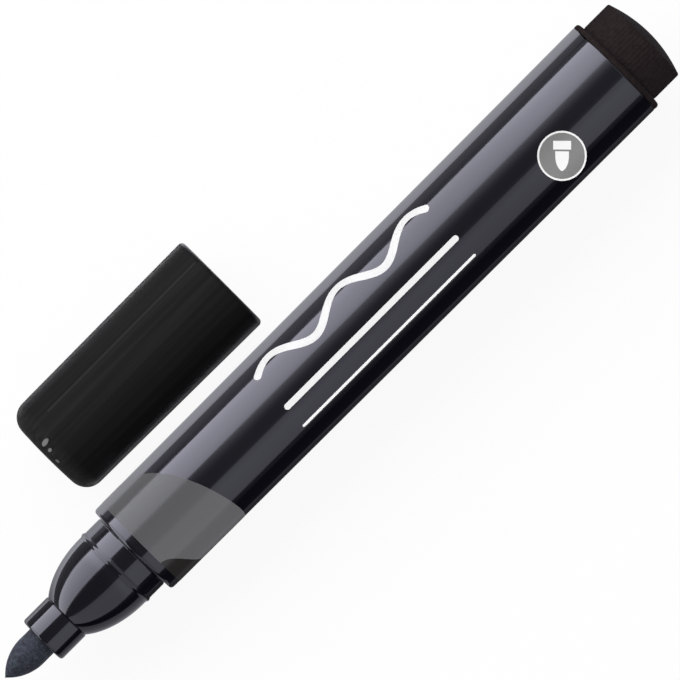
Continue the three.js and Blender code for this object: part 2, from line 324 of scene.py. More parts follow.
def gloss_polypropylene():
    """Polypropylene, injection-moulded in a polished mould: blue-black, so glossy that the lights show in it
    with crisp edges, with a long faint waviness and a haze where it has been handled."""
    tint = (0.93, 0.91, 1.0, 1)
    material, shader = finish("gloss_polypropylene", "06060c", 0.09, IOR=1.49, Specular_Tint=tint)
    vary(material, shader, "Roughness", pattern(material, 3, stretch=(3, 1, 1)), 0.07, 0.12)
    emboss(material, shader, pattern(material, 5, detail=1, stretch=(5, 1, 1)), 0.006)
    return material


def satin_polypropylene():
    """Polypropylene, moulded in a mould drawn out lengthwise: neutral black, satin, with faint streaks along
    the cap, about 1 mm apart, that are a little lighter. Its skin shines a little where it is seen aslant."""
    sheen = {"Sheen_Weight": 0.2, "Sheen_Roughness": 0.3}
    skin = {"Coat_Weight": 0.06, "Coat_Roughness": 0.1}
    material, shader = finish("satin_polypropylene", "1d1d1d", 0.5, Specular_IOR_Level=0.08, **sheen, **skin)
    streaks = pattern(material, 0.8, detail=4, stretch=(50, 1, 1))
    mottle(material, shader, streaks, ("1f1f1f", "242424", "2a2a2a"))
    vary(material, shader, "Roughness", streaks, 0.42, 0.58)
    emboss(material, shader, pattern(material, 0.3, stretch=(60, 1, 1)), 0.01)
    return material


def seam_highlight_polypropylene():
    """The cap's polypropylene along its mould's seam: a little greyer, which is a painted highlight along the
    raised seam, and duller, in fine uneven grain.
    """
    material, shader = finish("seam_highlight_polypropylene", "303030", 0.7, Specular_IOR_Level=0.2)
    emboss(material, shader, pattern(material, 0.2, detail=4), 0.01)
    return material


def glint_polypropylene():
    """Painted highlight on the cap's polypropylene: light grey and dull, in fine uneven grain, running out
    into the cap's black where the mesh stores a smaller share of it."""
    material, shader = finish("glint_polypropylene", "757575", 0.7, Specular_IOR_Level=0.1)
    glint_share = add(material, "ShaderNodeAttribute", {"attribute_name": "glint_share"}).outputs["Fac"]
    mottle(material, shader, glint_share, ("222222", "757575"))
    emboss(material, shader, pattern(material, 0.2, detail=4), 0.01)
    return material


def eroded_polypropylene():
    """Polypropylene, moulded in a spark-eroded mould: brown-black and matt, with a fine even grain. The real
    grain of about 0.05 mm is drawn at 0.15 mm, so that it shows."""
    material, shader = finish("eroded_polypropylene", "2b2426", 0.65, Specular_IOR_Level=0.1)
    grain = pattern(material, 0.15, detail=4)
    mottle(material, shader, pattern(material, 0.6, detail=4), ("282122", "312a2b"))
    emboss(material, shader, grain, 0.02)
    return material


def inked_felt():
    """Pressed polyester felt, soaked with ink: blue-grey where the fibres stand dry, near black where the ink
    is wet, rough all over. The fibres of about 0.03 mm are drawn in clumps of 0.4 mm, so that they show."""
    material, shader = finish("inked_felt", "3c424c", 0.5, Specular_IOR_Level=0.08)
    clumps = pattern(material, 0.38, detail=7)
    mottle(material, shader, clumps, ("2b2831", "393c45", "494f5a"))
    emboss(material, shader, pattern(material, 0.15, detail=4), 0.06)
    return material


def natural_polypropylene():
    """Polypropylene without pigment, moulded: milky white, satin and a little translucent."""
    depth = {"Subsurface_Weight": 0.3, "Subsurface_Radius": (1.2 * MM, 1.0 * MM, 0.9 * MM)}
    material, shader = finish("natural_polypropylene", "dedbd2", 0.4, IOR=1.49, **depth)
    emboss(material, shader, pattern(material, 1.5), 0.01)
    return material


def inked_fibre():
    """Polyester fibre bonded lengthwise into a rod and soaked with ink: dark, rough, with fine lines."""
    material, shader = finish("inked_fibre", "23252c", 0.95)
    fibres = pattern(material, 0.3, detail=4, stretch=(40, 1, 1))
    mottle(material, shader, fibres, ("1b1d24", "30333c"))
    emboss(material, shader, fibres, 0.05)
    return material


def clear_film():
    """Polyethylene film wrapped round the fibre: clear, slightly milky, with crisp highlights."""
    material, shader = finish("clear_film", "c9ccd0", 0.15, IOR=1.51, Alpha=0.35)
    emboss(material, shader, pattern(material, 4, stretch=(4, 1, 1)), 0.05)
    return material


def screen_ink(name, colour, roughness, shine):
    """Screen-printed ink: an even colour on the gloss plastic, a little duller than it, with the fine
    unevenness that the mesh leaves, drawn at 0.25 mm."""
    material, shader = finish(name, colour, roughness, Specular_IOR_Level=shine)
    mesh_marks = pattern(material, 0.25, detail=3)
    vary(material, shader, "Roughness", mesh_marks, roughness * 0.85, roughness * 1.2)
    emboss(material, shader, mesh_marks, 0.002)
    return material


# Pieces of the marker


def barrel_shell():
    front, rear = barrel.front, barrel.rear
    lip, rear_round = BARREL_FRONT_LIP, BARREL_REAR_ROUND
    half_turn = (BARREL_FRONT_ROUND - lip) * math.sqrt(0.5)
    round_x, round_r = front + lip + half_turn, barrel_front_radius - BARREL_FRONT_ROUND
    rear_middle = rear - rear_round * math.sin(math.radians(BARREL_REAR_TURN))
    profile = [
        (front, barrel_front_radius - BARREL_WALL),
        *arc(front + lip, round_r + half_turn, lip, 180, 135, 6),
        *arc(round_x, round_r, BARREL_FRONT_ROUND, 135, 90, 12)[1:],
        *arc(rear_middle, barrel.radius - rear_round, rear_round, 90, 90 - BARREL_REAR_TURN, 6),
        (rear, barrel.radius - BARREL_WALL),
    ]
    return spun("barrel_shell", braced(profile), barrel)


def nose_moulding():
    collar_round = COLLAR_EDGE_ROUND
    dome_reach = DOME_LENGTH / math.sqrt(1 - (collar_radius / nose_radius) ** 2)
    reveal = barrel.front + NOSE_REVEAL_DEPTH
    cavity = nose_radius - NOSE_WALL
    profile = [
        (nose.front, nib_hole_radius + NIB_TUBE_MOUTH),
        *arc(nose.front + collar_round, collar_radius - collar_round, collar_round, 180, 90, 8),
        *groove(dome_base - DOME_LENGTH - GROOVE_WIDTH / 2, collar_radius),
        *dome(dome_base, nose_radius, dome_reach, collar_radius, 48),
        *bead(bead_place, nose_radius, BEAD_HEIGHT, BEAD_WIDTH),
        *groove(barrel.front - GROOVE_WIDTH / 2, nose_radius),
        (reveal, nose_radius),
        (reveal, nose_spigot_radius),
        (nose.rear - EDGE_CHAMFER, nose_spigot_radius),
        (nose.rear, nose_spigot_radius - EDGE_CHAMFER),
        (nose.rear, cavity),
        (dome_base, cavity),
        (dome_base - DOME_LENGTH + NOSE_WALL, nib_hole_radius),
        (nose.front + VENT_RIB_START, nib_hole_radius),
        (nose.front + NIB_TUBE_MOUTH, nib_hole_radius),
    ]

    def vent_ribs(x, r, turn):
        """The ribs that hold the nib stand out of the hole, with air between them."""
        if r > nib_hole_radius + SAME or x < nose.front + VENT_RIB_START - SAME:
            return 0
        pitch = 2 * math.pi / VENT_RIBS
        off_rib = abs((turn + pitch / 2) % pitch - pitch / 2) * nib.radius
        return NIB_FIT - VENT_GAP if off_rib < VENT_RIB_WIDTH / 2 else 0

    return spun("nose_moulding", braced(profile), nose, relief=vent_ribs)


def felt_nib():
    """The nib: its point is an arch, with its steps crowded towards the tip."""
    arch = (nib.radius**2 + NIB_POINT**2) / (2 * nib.radius)
    point = []
    for share in spread(0, 1, 60):
        along = NIB_POINT * share**NIB_POINT_CROWDING
        radius = math.sqrt(arch**2 - (NIB_POINT - along) ** 2) + nib.radius - arch
        point.append((nib.front + along, max(radius, NIB_POINT_FLAT)))
    point_rear = nib.front + NIB_POINT
    shown = [(x, nib.radius) for x in spread(point_rear, point_rear + NIB_SHOWN, 15)[1:]]
    profile = [
        (nib.front, 0),
        *point,
        *shown,
        (nib.rear - NIB_REAR_CHAMFER, nib.radius),
        (nib.rear, nib.radius - NIB_REAR_CHAMFER),
        (nib.rear, 0),
    ]

    def felting(x, r, turn):
        """Dents of the pressed fibre, which never stand out of the rod."""
        spot = Vector((x, r * math.sin(turn), r * math.cos(turn))) / NIB_DENT_WIDTH
        return -NIB_DENT_DEPTH * (0.5 + 0.5 * noise.noise(spot)) * min(1, r)

    return spun("felt_nib", profile, nib, steps=NIB_ROUND, relief=felting)


def plug_moulding():
    flange_rear = barrel.rear + FLANGE_THICKNESS
    grip_rear = plug.rear - GRIP_DOME
    foot_radius = GRIP_RADIUS - SERRATION_DEPTH
    crown = GRIP_RADIUS - GRIP_EDGE_ROUND
    spigot_radius = barrel.radius - BARREL_WALL - PRESS_FIT
    dome_tilt = math.degrees(math.atan(2 * GRIP_DOME / crown))
    edge = arc(grip_rear - GRIP_EDGE_ROUND, crown, GRIP_EDGE_ROUND, 90, dome_tilt, 6)
    domed_end = [(plug.rear - GRIP_DOME * share**2, crown * share) for share in spread(1, 0, 24)[1:]]
    flutes_front = flange_rear + GRIP_FOOT
    profile = [
        (plug.front, 0),
        (plug.front, spigot_radius - EDGE_CHAMFER),
        (plug.front + EDGE_CHAMFER, spigot_radius),
        (barrel.rear, spigot_radius),
        (barrel.rear, plug.radius - FLANGE_FRONT_EDGE),
        (barrel.rear + FLANGE_FRONT_EDGE, plug.radius),
        *arc(flange_rear - FLANGE_ROUND, plug.radius - FLANGE_ROUND, FLANGE_ROUND, 90, 0, 6),
        (flange_rear, foot_radius + GRIP_FILLET),
        *arc(flange_rear + GRIP_FILLET, foot_radius + GRIP_FILLET, GRIP_FILLET, 180, 270, 4),
        (flutes_front, foot_radius),
        (flutes_front + GRIP_RISE, GRIP_RADIUS),
        *edge,
        (grip_rear, crown),
        *domed_end,
    ]

    def flutes(x, r, turn):
        """Serrations with rounded crests, which run out over the rounded edge of the grip."""
        if x < flutes_front + GRIP_RISE - SAME or r < crown:
            return 0
        across = 0.5 - 0.5 * math.cos(turn * SERRATIONS)
        share = min(1, (r - foot_radius) / SERRATION_DEPTH)
        return -SERRATION_DEPTH * (1 - across) * max(0, share)

    return spun("plug_moulding", braced(profile), plug, steps=FLUTED_ROUND, relief=flutes)


# Pieces of the cap


def cap_moulding():
    mouth_radius = cap.radius
    end_radius = mouth_radius - CAP_DRAFT
    end_round, rim_round = CAP_END_ROUND, CAP_RIM_ROUND
    inner_end = cap.front + CAP_END_WALL
    click_place = cap.rear - (barrel.front - bead_place)
    click_groove = bead(click_place, cap_bore_radius, BEAD_HEIGHT, BEAD_WIDTH + CAP_GROOVE_ROOM)
    end_turn = 180 - CAP_CROWN_TILT
    profile = [
        (cap.front, 0),
        (cap.front, CAP_END_FLAT),
        (cap.front + CAP_CROWN, end_radius - end_round),
        *arc(cap.front + CAP_CROWN + end_round, end_radius - end_round, end_round, end_turn, 90, 20),
        *arc(cap.rear - rim_round, mouth_radius - rim_round, rim_round, 90, 0, 10),
        (cap.rear, cap_bore_radius + CAP_MOUTH_CHAMFER),
        (cap.rear - CAP_MOUTH_CHAMFER, cap_bore_radius),
        *reversed(click_groove),
        *arc(inner_end + CAP_INNER_ROUND, cap_bore_radius - CAP_INNER_ROUND, CAP_INNER_ROUND, 90, 180, 8),
        (inner_end, 0),
    ]
    return spun("cap_moulding", braced(profile), cap)


def inner_cap_cup():
    outer = inner_cap_bore + INNER_CAP_RELIEF + INNER_CAP_WALL
    relief = inner_cap_bore + INNER_CAP_RELIEF
    flange_outer = cap_bore_radius - PRESS_FIT
    mouth, end = inner_cap.rear, inner_cap.front
    floor = end + INNER_CAP_FLOOR
    lip_end = mouth - INNER_CAP_LIP
    profile = [
        (end, 0),
        *arc(end + EDGE_CHAMFER, outer - EDGE_CHAMFER, EDGE_CHAMFER, 180, 90, 5),
        (mouth - INNER_CAP_FLANGE, outer),
        (mouth - INNER_CAP_FLANGE, flange_outer),
        (mouth, flange_outer),
        *arc(mouth - EDGE_CHAMFER, inner_cap_bore + EDGE_CHAMFER, EDGE_CHAMFER, 0, -90, 5),
        (lip_end, inner_cap_bore),
        (lip_end - INNER_CAP_RELIEF, relief),
        (floor, relief),
        (floor, 0),
    ]
    return spun("inner_cap_cup", braced(profile), inner_cap, steps=INNER_CAP_ROUND)


# Prints and marks: thin layers on a surface. A place on a surface is (along X, way round from the top line
# towards +Y), both in millimetres

LAYER_LIFT = 0.02
LAYER_THICKNESS = 0.03

# The grey zone over the barrel's front end: its rear edge bulges rearward, and a darker corner lies in front
ZONE_FRONT = barrel.front + 1.6
ZONE_REAR = barrel.front + 14.78
ZONE_MIDDLE = -8.0
ZONE_BEND = 0.0252
ZONE_LEFT = 14.6
ZONE_RIGHT = -19.0
CORNER_START = -4.2
CORNER_INSET = 0.02
CORNER_BEND = 1.7

# Stroke samples: a wave, a medium line and a fine line
SAMPLE_FRONT = -9.4
SAMPLE_REAR = 24.5
WAVE_AROUND = 4.8
WAVE_HEIGHT = 1.6
WAVE_COUNT = 2.5
WAVE_STROKE = 1.2
MEDIUM_AROUND = -1.1
MEDIUM_STROKE = 0.9
FINE_AROUND = -4.9
FINE_STROKE = 0.45
NARROWEST = 0.002

# Round badge with the sign of a bullet nib
BADGE_X = 42.61
BADGE_BESIDE = -3.43
BADGE_RADIUS = 3.45
BADGE_RING = 0.26
BADGE_MIDDLE = 0.3
BADGE_GAP = 0.01
SIGN_LENGTH = 2.7
SIGN_WIDTH = 1.9
SIGN_SIDE = 0.995
SIGN_POINT = 0.75
SIGN_BULGE = 1.6
SIGN_GAP = 0.25
SIGN_COLLAR = (1.2, 2.5)

# Rings and ovals
SPOKES = 72
SPOKE_STEPS = 6
GLINT_MIDDLE = 0.05

# Painted highlights on the cap: light grey spots on its closed end's rounded edge. Columns: name, way along
# from the closed end, way round, length, width, share of the full grey
GLINT_SPOTS = [
    ("long_glint", 1.3, 1.63, 2.0, 1.02, 1),
    ("round_glint", 0.98, 0.33, 1.0, 0.72, 1),
    ("short_glint", 0.5, -1.75, 0.95, 1.4, 0.55),
]


def on_barrel(x, around, lift):
    radius = barrel_radius_at(x)
    turn = around / radius
    return (x, barrel.y + (radius + lift) * math.sin(turn), barrel.z + (radius + lift) * math.cos(turn))


def on_cap(x, around, lift):
    """A place on the cap: past its straight side, the way along X bends round its closed end."""
    end_x, end_radius = cap.front + CAP_CROWN + CAP_END_ROUND, cap.radius - CAP_DRAFT
    if x > end_x:
        radius = end_radius + CAP_DRAFT * (x - end_x) / (cap.rear - end_x) + lift
    else:
        bend = (end_x - x) / CAP_END_ROUND
        radius = end_radius - CAP_END_ROUND + (CAP_END_ROUND + lift) * math.cos(bend)
        x = end_x - (CAP_END_ROUND + lift) * math.sin(bend)
    turn = around / end_radius
    return (x, cap.y + radius * math.sin(turn), cap.z + radius * math.cos(turn))


def layer(name, rows, surface=on_barrel, closed=False, filled=False, lift=LAYER_LIFT):
    """A thin closed layer on a surface from rows of places, each row further towards +Y or, closed, further
    round a ring, whose middle may be filled."""
    places = [place for row in rows for place in row]
    wide, count = len(rows[0]), len(places)
    faces = []
    for a in range(len(rows) if closed else len(rows) - 1):
        b = (a + 1) % len(rows)
        for j in range(wide - 1):
            faces.append([a * wide + j, a * wide + j + 1, b * wide + j + 1, b * wide + j])
    if filled:
        faces.append([a * wide for a in range(len(rows))])
    edges = {edge for face in faces for edge in zip(face, face[1:] + face[:1])}
    sides = [(b, a, a + count, b + count) for a, b in edges if (b, a) not in edges]
    under = [[corner + count for corner in reversed(face)] for face in faces]
    vertices = [surface(*place, lift) for place in places]
    vertices += [surface(*place, lift - LAYER_THICKNESS) for place in places]
    return made(name, vertices, faces + sorted(sides) + under)


def zone_rear(around):
    return ZONE_REAR - ZONE_BEND * (around - ZONE_MIDDLE) ** 2


def corner_rear(around):
    return ZONE_FRONT + CORNER_BEND * math.sqrt(max(0, CORNER_START - around))


def grey_zone():
    turns = spread(ZONE_RIGHT, CORNER_START, 60)[:-1] + spread(CORNER_START, ZONE_LEFT, 80)
    return layer("grey_zone", [[(x, a) for x in spread(corner_rear(a), zone_rear(a), 24)] for a in turns])


def zone_corner():
    turns = spread(ZONE_RIGHT, CORNER_START - CORNER_INSET, 60)
    return layer("zone_corner", [[(x, a) for x in spread(ZONE_FRONT, corner_rear(a), 8)] for a in turns])


def stroke(name, line, width, surface=on_barrel):
    """A stroke of even width with round ends along a line of places."""
    travelled = [0]
    for (x0, a0), (x1, a1) in zip(line, line[1:]):
        travelled.append(travelled[-1] + math.hypot(x1 - x0, a1 - a0))
    sides = [[], [], []]
    for i, (x, around) in enumerate(line):
        (x0, a0), (x1, a1) = line[max(i - 1, 0)], line[min(i + 1, len(line) - 1)]
        length = math.hypot(x1 - x0, a1 - a0)
        from_end = min(travelled[i], travelled[-1] - travelled[i], width / 2)
        half = math.sqrt(max(0, (width / 2) ** 2 - (width / 2 - from_end) ** 2)) + NARROWEST / 2
        for side, off in zip(sides, (-half, 0, half)):
            side.append((x - off * (a1 - a0) / length, around + off * (x1 - x0) / length))
    return layer(name, sides, surface)


def wave_sample():
    pace = 2 * math.pi * WAVE_COUNT / (SAMPLE_REAR - SAMPLE_FRONT)
    line = []
    for x in spread(SAMPLE_FRONT, SAMPLE_REAR, 400):
        line.append((x, WAVE_AROUND + WAVE_HEIGHT * math.sin((x - SAMPLE_FRONT) * pace)))
    return stroke("wave_sample", line, WAVE_STROKE)


def straight_sample(name, around, width):
    return stroke(name, [(x, around) for x in spread(SAMPLE_FRONT, SAMPLE_REAR, 300)], width)


def spokes(x, around, inner, outer, length=1, width=1):
    """Rows from the inner to the outer edge of a ring or oval round a place."""
    rows = []
    for turn in spread(0, 2 * math.pi, SPOKES)[:-1]:
        far, aside = length * math.cos(turn), width * math.sin(turn)
        rows.append([(x + r * far, around + r * aside) for r in spread(inner, outer, SPOKE_STEPS)])
    return rows


def pad_printed(x, beside, lift):
    """A place on the barrel straight below a point beside its axis, where a printing pad presses it."""
    radius = barrel_radius_at(x)
    return on_barrel(x, radius * math.asin(beside / radius), lift)


def badge_ring():
    rows = spokes(BADGE_X, BADGE_BESIDE, BADGE_RADIUS - BADGE_RING, BADGE_RADIUS)
    return layer("badge_ring", rows, pad_printed, closed=True)


def badge_field():
    rows = spokes(BADGE_X, BADGE_BESIDE, BADGE_MIDDLE, BADGE_RADIUS - BADGE_RING - BADGE_GAP)
    return layer("badge_field", rows, pad_printed, closed=True, filled=True)


def on_badge(along, across):
    """A place on the badge, whose sign stands upright when the marker runs up to the right."""
    upright = math.sqrt(0.5)
    return (BADGE_X + (along - across) * upright, BADGE_BESIDE + (along + across) * upright)


def badge_sign():
    """A plain sign of a bullet nib and the end of its collar."""
    collar_length, collar_width = SIGN_COLLAR
    front = -(SIGN_LENGTH + SIGN_GAP + collar_length) / 2
    rear = front + SIGN_LENGTH
    rows = []
    for share in spread(-SIGN_SIDE, SIGN_SIDE, 24):
        point = front + SIGN_POINT * SIGN_LENGTH * (1 - math.sqrt(1 - abs(share) ** SIGN_BULGE))
        rows.append([on_badge(x, share * SIGN_WIDTH / 2) for x in spread(point, rear, 12)])
    behind = spread(rear + SIGN_GAP, rear + SIGN_GAP + collar_length, 4)
    bar = [[on_badge(x, side) for x in behind] for side in spread(-collar_width / 2, collar_width / 2, 8)]
    lift = LAYER_LIFT + LAYER_THICKNESS
    shapes = (("badge_nib", rows), ("badge_collar", bar))
    return [layer(name, places, pad_printed, lift=lift) for name, places in shapes]


def mould_seam(name, turn):
    """One of the two lines along the cap where the halves of its mould met, laid on in a lighter grey that is
    a painted highlight.
    """
    around = turn * (cap.radius - CAP_DRAFT)
    line = [(x, around) for x in spread(cap.front + CAP_SEAM_START, cap.rear - CAP_RIM_ROUND, 120)]
    return stroke(name, line, CAP_SEAM_WIDTH, on_cap)


def glint_spot(name, x, around, length, width, glint_strength):
    """A painted highlight: a light grey spot on the rounded edge of the cap's closed end, fading towards its
    rim.
    """
    rows = spokes(x, around, GLINT_MIDDLE, 0.5, length, width)
    piece = layer(name, rows, on_cap, closed=True, filled=True)
    glint_share = [glint_strength * (1 - share**2) for share in spread(0, 1, SPOKE_STEPS)]
    store(piece, "glint_share", glint_share * 2 * len(rows))
    return piece


# Stage

FLOOR_REACH = 3000
FLOOR_LEVEL = -0.02
FLOOR_LIT = 0.09
FLOOR_GLOW = 0.93
AIR_LIGHT = 0.24
CARD_COLOUR = "f4f6ff"


def either(material, first, second):
    """One when either of two light path sockets is."""
    return add(material, "ShaderNodeMath", {"operation": "MAXIMUM"}, {0: first, 1: second}).outputs[0]


def floor_sheet():
    """The pale floor. It shows white where it is lit, and keeps a soft shadow of the marker."""
    sides = ((-1, -1), (1, -1), (1, 1), (-1, 1))
    corners = [(FLOOR_REACH * x, FLOOR_REACH * y, FLOOR_LEVEL) for x, y in sides]
    sheet = made("floor_sheet", corners, [(0, 1, 2, 3)])
    material = bpy.data.materials.new("white_paper")
    material.use_nodes = True
    nodes = material.node_tree.nodes
    nodes.clear()
    lit = add(material, "ShaderNodeBsdfDiffuse", {"Color": (FLOOR_LIT,) * 3 + (1,)})
    ray = add(material, "ShaderNodeLightPath")
    seen = either(material, ray.outputs["Is Camera Ray"], ray.outputs["Is Transmission Ray"])
    strength = add(material, "ShaderNodeMath", {"operation": "MULTIPLY", 1: FLOOR_GLOW}, {0: seen})
    glow = add(material, "ShaderNodeEmission", {}, {"Strength": strength.outputs[0]})
    both = add(material, "ShaderNodeAddShader", {}, {0: lit.outputs[0], 1: glow.outputs[0]})
    add(material, "ShaderNodeOutputMaterial", {}, {"Surface": both.outputs[0]})
    sheet.data.materials.append(material)
    sheet.visible_glossy = False


def only_reflected(sheet):
    sheet.visible_camera = False
    sheet.visible_diffuse = False
    sheet.visible_transmission = False
    sheet.visible_shadow = False


def card_material():
    """A studio card that glows by the level stored in its mesh, so that its light can fade along it."""
    material = bpy.data.materials.new("studio_card")
    material.use_nodes = True
    material.node_tree.nodes.clear()
    level = add(material, "ShaderNodeAttribute", {"attribute_name": "level"})
    strength = {"Strength": level.outputs["Fac"]}
    glow = add(material, "ShaderNodeEmission", {"Color": linear(CARD_COLOUR)}, strength)
    add(material, "ShaderNodeOutputMaterial", {}, {"Surface": glow.outputs[0]})
    material.cycles.emission_sampling = "NONE"
    return material


def card(name, rows, levels, material, receivers=None):
    """A card of rows of points, each point with its own level of light. Only the receivers show it, or every
    piece where none are named."""
    count = len(rows[0])
    vertices = [point for row in rows for point in row]
    faces = []
    for a in range(len(rows) - 1):
        for j in range(count - 1):
            faces.append([a * count + j, a * count + j + 1, (a + 1) * count + j + 1, (a + 1) * count + j])
    sheet = made(name, vertices, faces)
    store(sheet, "level", [level for row in levels for level in row])
    sheet.data.materials.append(material)
    sheet.light_linking.receiver_collection = receivers
    only_reflected(sheet)


# Light that the gloss shows, by the direction it comes from: degrees from straight up, with +Y positive
ARCH_RADIUS = 600
RIM_STEP = 2
CLOTH_REACH = 1.1 * ARCH_RADIUS
FAN_CLEARANCE = 1
STAGE_ENDS = (-1500, 2500)
FLOOR_CARD_HEIGHT = -0.01
ARCH_LEVELS = [
    (96, 0.62),
    (80.5, 0.66),
    (80.5, 6.9),
    (60, 6.1),
    (42, 5.5),
    (32, 4.9),
    (24.5, 3.9),
    (24.5, 1.9),
    (18, 1.15),
    (9, 0.55),
    (2, 0.34),
    (-15, 0.3),
    (-24, 0.42),
    (-24, 1.2),
    (-40, 1.48),
    (-60, 1.32),
    (-79, 1.1),
    (-79, 0.2),
    (-96, 0.05),
]
ARCH_COLUMNS = [
    (barrel.front, 1.14, 1),
    (5, 1.09, 0.993),
    (37, 0.94, 0.985),
    (barrel.rear, 1.16, 1),
    (STAGE_ENDS[1], 1.2, 1),
]
NOSE_ARCH_COLUMNS = [
    (STAGE_ENDS[0], 0.84, 1.2),
    (nose.front - 545, 0.84, 1.1),
    (nose.front - 180, 0.84, 1.045),
    (nose.front - 90, 0.84, 1.02),
    (nose.front - 20, 1.08, 1),
    (barrel.front, 1.08, 1),
]
NOSE_ARCH_LEVELS = [
    (96, 0.3),
    (80.5, 0.3),
    (80.5, 8.0),
    (72, 7.0),
    (60, 6.3),
    (42, 5.5),
    (32, 4.9),
    (24.5, 5.2),
    (24.5, 0.4),
    (20, 0.26),
    (-24, 0.26),
    (-24, 1.4),
    (-40, 1.5),
    (-60, 1.4),
    (-78.5, 1.3),
    (-78.5, 0.05),
    (-96, 0.05),
]
# Light behind the marker, which shows as a thin line in the barrel's rounded rear edge and in the bead
REAR_LIGHT = (barrel.rear + 150, 1, 1)
REAR_LIGHT_LEVELS = [(96, 1.0), (80.5, 1.0), (80.5, 6.5), (24.5, 4.0), (24.5, 1.0), (-96, 1.0)]


def arch_rims(marks):
    """Marks of (angle, level), with others between them, about RIM_STEP degrees apart."""
    rims = []
    for (angle, level), (next_angle, next_level) in zip(marks, marks[1:] + marks[-1:]):
        for share in spread(0, 1, max(1, round(abs(next_angle - angle) / RIM_STEP)))[:-1]:
            rims.append((angle + (next_angle - angle) * share, level + (next_level - level) * share))
    return rims


def arch_place(x, angle, widening):
    turn = math.radians(angle * widening)
    return (x, barrel.y + ARCH_RADIUS * math.sin(turn), barrel.z + ARCH_RADIUS * math.cos(turn))


def light_arch(name, columns, marks, material, receivers):
    """An arch of light over the marker, seen only in the gloss pieces, from columns of (place along X, share
    of the light there, widening of the angles there) and marks of (angle, level)."""
    rims = arch_rims(marks)
    lines = [[arch_place(x, angle, widening) for x, _, widening in columns] for angle, _ in rims]
    levels = [[level * dim for _, dim, _ in columns] for _, level in rims]
    card(name, lines, levels, material, receivers)


def light_fan(name, column, marks, material, receivers):
    """A fan of light across the arch just behind a column, from the marker's axis out to the arch."""
    x, dim, widening = column
    x += FAN_CLEARANCE
    rims = arch_rims(marks)
    lines = [[(x, barrel.y, barrel.z), arch_place(x, angle, widening)] for angle, _ in rims]
    card(name, lines, [[level * dim] * 2 for _, level in rims], material, receivers)


# Light that comes off the floor, by distance from the marker's axis: a white strip beside the marker, then
# grey, and a dark cloth on the other side. The nose has strips of its own
FLOOR_LEVELS = [
    (-650, 0.02),
    (-19.6, 0.02),
    (-19.6, 0.19),
    (-16.2, 0.14),
    (-14.2, 0.06),
    (0, 0.05),
    (0, 0.5),
    (10.7, 0.75),
    (13.4, 1.12),
    (17.5, 1.8),
    (22.4, 2.5),
    (33, 3.0),
    (33, 0.8),
    (650, 0.62),
]
PLUG_FLOOR_LEVELS = [(-650, 0.4), (650, 0.4)]
NOSE_FLOOR_LEVELS = [
    (-650, 0.02),
    (-36, 0.02),
    (-36, 0.55),
    (0, 0.5),
    (0, 0.3),
    (9, 0.6),
    (13, 1.3),
    (20, 3.0),
    (20, 0.4),
    (650, 0.4),
]

# White strips on the floor, which the cap shows as thin lines along its edges. Beside the barrel they are as
# light as the floor is there, so that the barrel doesn't show them
STRIP_HEIGHT = -0.004
MOUTH_STRIP_HEIGHT = -0.007
STRIPS_PAST_CAP = (-4, 8)
CAP_STRIPS = [
    ("outer_strip", (31.2, 33), 2.9),
    ("inner_strip", (2.6, 4.6), 1.9),
]
MOUTH_STRIP = (1, 20)
MOUTH_STRIP_SIDES = (0, 33)


def floor_card(name, ends, marks, material, receivers=None, height=FLOOR_CARD_HEIGHT):
    rows = [[(x, barrel.y + off, height) for x in ends] for off, _ in marks]
    card(name, rows, [[level] * len(ends) for _, level in marks], material, receivers)


def reflections(receivers, plug_receivers):
    """The cards that the receivers show, and the strips for the cap, with a black cloth at either end."""
    material = card_material()
    front, rear = STAGE_ENDS
    light_arch("barrel_arch", ARCH_COLUMNS, ARCH_LEVELS, material, receivers)
    light_arch("nose_arch", NOSE_ARCH_COLUMNS, NOSE_ARCH_LEVELS, material, receivers)
    light_fan("nose_fan", NOSE_ARCH_COLUMNS[0], NOSE_ARCH_LEVELS, material, receivers)
    light_fan("rear_fan", REAR_LIGHT, REAR_LIGHT_LEVELS, material, receivers)
    floor_card("barrel_floor", (dome_base, plug.rear), FLOOR_LEVELS, material, receivers)
    floor_card("plug_floor", (plug.rear, rear), PLUG_FLOOR_LEVELS, material, plug_receivers)
    floor_card("nose_floor", (front, dome_base), NOSE_FLOOR_LEVELS, material, receivers)
    strip_ends = (cap.front + STRIPS_PAST_CAP[0], cap.rear + STRIPS_PAST_CAP[1])
    for name, sides, level in CAP_STRIPS:
        floor_card(name, strip_ends, [(side, level) for side in sides], material, height=STRIP_HEIGHT)
    mouth_ends = [cap.rear + past for past in MOUTH_STRIP]
    low, high = MOUTH_STRIP_SIDES
    mouth_levels = [(off, level) for off, level in FLOOR_LEVELS if low <= off <= high][1:-1]
    floor_card("mouth_strip", mouth_ends, mouth_levels, material, height=MOUTH_STRIP_HEIGHT)
    sides = (-CLOTH_REACH, CLOTH_REACH)
    for name, x in (("front_cloth", front), ("rear_cloth", rear)):
        card(name, [[(x, y, z) for z in sides] for y in sides], [[0, 0]] * 2, material)


# Lamps: a window over the cap's side, low lamps on the marker's side, and one before the cap's closed end
WINDOW_PLACE = (80, 920, 780)
WINDOW_AIM = (80, 0, 0)
WINDOW_SIZE = (2600, 900)
WINDOW_WATTS = 21
LOW_PLACE = (0, -1200, 320)
LOW_AIM = (0, 0, 0)
LOW_SIZE = (1200, 500)
LOW_WATTS = 6
PRINT_WATTS = 13
END_PLACE = (-1200, 60, 90)
END_AIM = (0, 0, 0)
END_SIZE = (300, 150)
END_WATTS = 9


